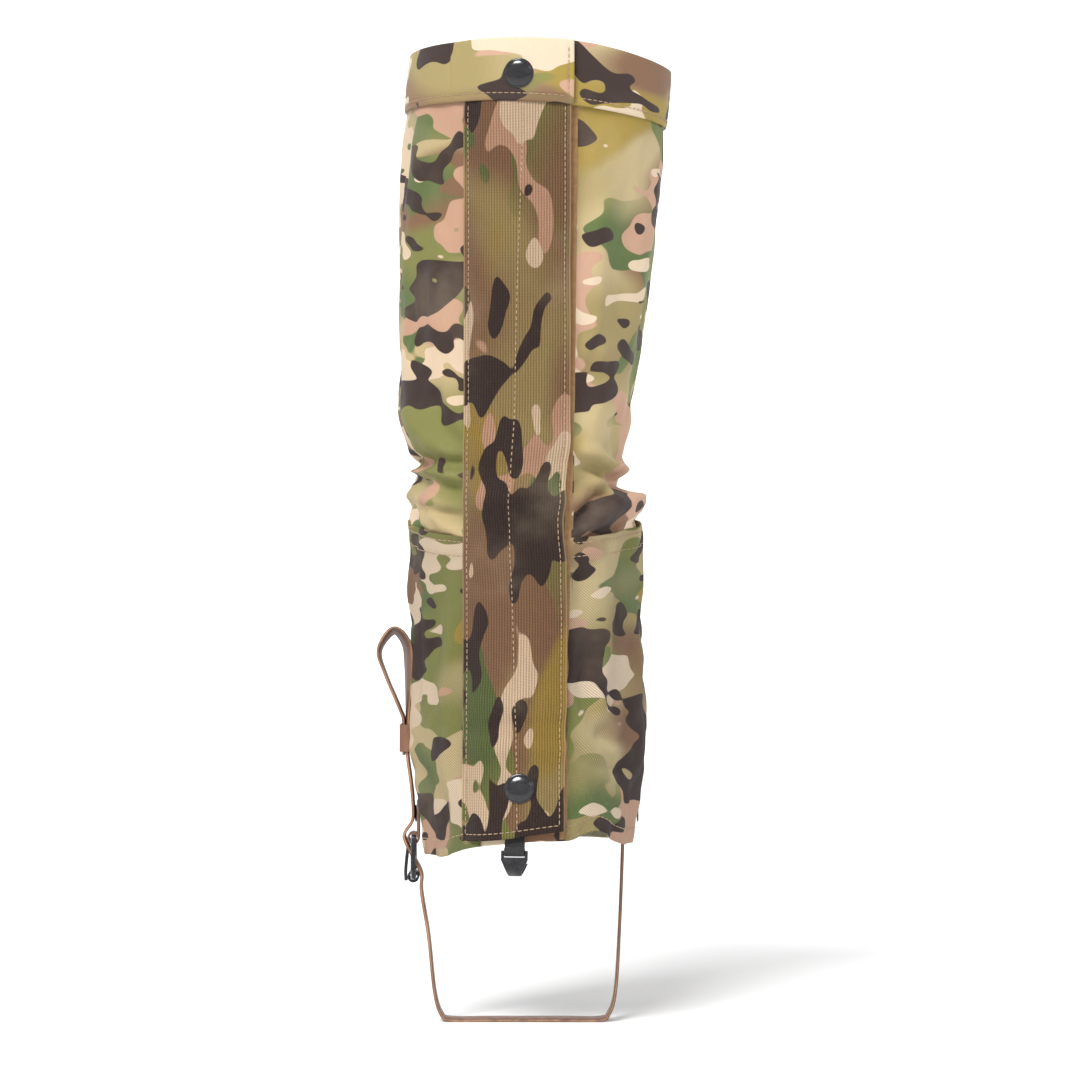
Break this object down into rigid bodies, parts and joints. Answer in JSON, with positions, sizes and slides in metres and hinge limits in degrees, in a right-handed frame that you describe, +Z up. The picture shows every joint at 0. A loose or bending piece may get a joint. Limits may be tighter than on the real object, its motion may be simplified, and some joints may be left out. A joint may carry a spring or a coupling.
{
  "type": "hiking gaiter",
  "caption": "Calf-high hiking gaiter for the right leg: camouflage fabric tube with a snapped front storm flap, lace hook and under-boot strap with a prong buckle.",
  "frame": {"origin": "top face of the strap under the boot, on the axis of the leg", "axes": "+Z up the leg, -Y to the front of the leg, +X to the inner side of the leg"},
  "size_m": [0.1505, 0.1591, 0.5006],
  "materials": {
    "camo_nylon": "light woven nylon with a soft camouflage print",
    "camo_cordura": "coarse textured nylon with a soft camouflage print",
    "binding": "grosgrain tape",
    "elastic": "ribbed elastic",
    "touch_tape": "hook and loop pile",
    "webbing": "ribbed webbing",
    "strap": "coated strap with pale cut edges",
    "snap_gloss": "gloss black enamel",
    "black_metal": "black coated metal, worn at the edges"
  },
  "bodies": {
    "shell": {"collar_band": "camo_nylon", "collar_elastic": "elastic", "upper_outer_panel": "camo_nylon", "upper_inner_panel": "camo_nylon", "lower_outer_panel": "camo_cordura", "lower_inner_panel": "camo_cordura", "ankle_elastic": "elastic", "back_seam_tape": "binding", "underlap_placket": "camo_nylon", "loop_tape": "touch_tape", "snap_stud_top": "black_metal", "snap_stud_bottom": "black_metal", "snap_stud_back_top": "black_metal", "snap_stud_back_bottom": "black_metal", "hook_webbing": "webbing", "strap_keeper": "strap", "strap_tail": "strap", "outer_rivet": "black_metal", "outer_rivet_burr": "black_metal", "inner_rivet": "black_metal", "inner_rivet_burr": "black_metal"},
    "front_flap": {"storm_flap": "camo_nylon", "collar_tab": "camo_nylon", "hook_tape": "touch_tape", "snap_cap_top": "snap_gloss", "snap_cap_bottom": "snap_gloss", "snap_socket_top": "black_metal", "snap_socket_bottom": "black_metal"},
    "foot_strap": {"foot_strap": "strap", "buckle_tab": "strap", "buckle_frame": "black_metal"},
    "buckle_prong": {"buckle_prong": "black_metal"},
    "buckle_roller": {"buckle_roller": "black_metal"},
    "lace_hook": {"lace_hook": "black_metal"}
  },
  "joints": [
    {"name": "flap_hinge", "type": "hinge", "parent": "shell", "child": "front_flap", "pos_m": [-0.0304, -0.0571, 0.281], "axis": [0, -0.0279, -0.9996], "range_deg": [0, 165]},
    {"name": "foot_strap_swing", "type": "hinge", "parent": "shell", "child": "foot_strap", "pos_m": [0, 0, 0.105], "axis": [1, 0, 0], "range_deg": [-25, 25]},
    {"name": "prong_lift", "type": "hinge", "parent": "foot_strap", "child": "buckle_prong", "pos_m": [-0.05729, 0, 0.0925], "axis": [0, 1, 0], "range_deg": [0, 10]},
    {"name": "roller_spin", "type": "hinge", "parent": "foot_strap", "child": "buckle_roller", "pos_m": [-0.05729, 0, 0.073], "axis": [0, 1, 0], "continuous": true},
    {"name": "lace_hook_swing", "type": "hinge", "parent": "shell", "child": "lace_hook", "pos_m": [-0.00498, -0.07634, 0.0906], "axis": [-0.9833, 0.1822, 0], "range_deg": [-15, 90]}
  ]
}
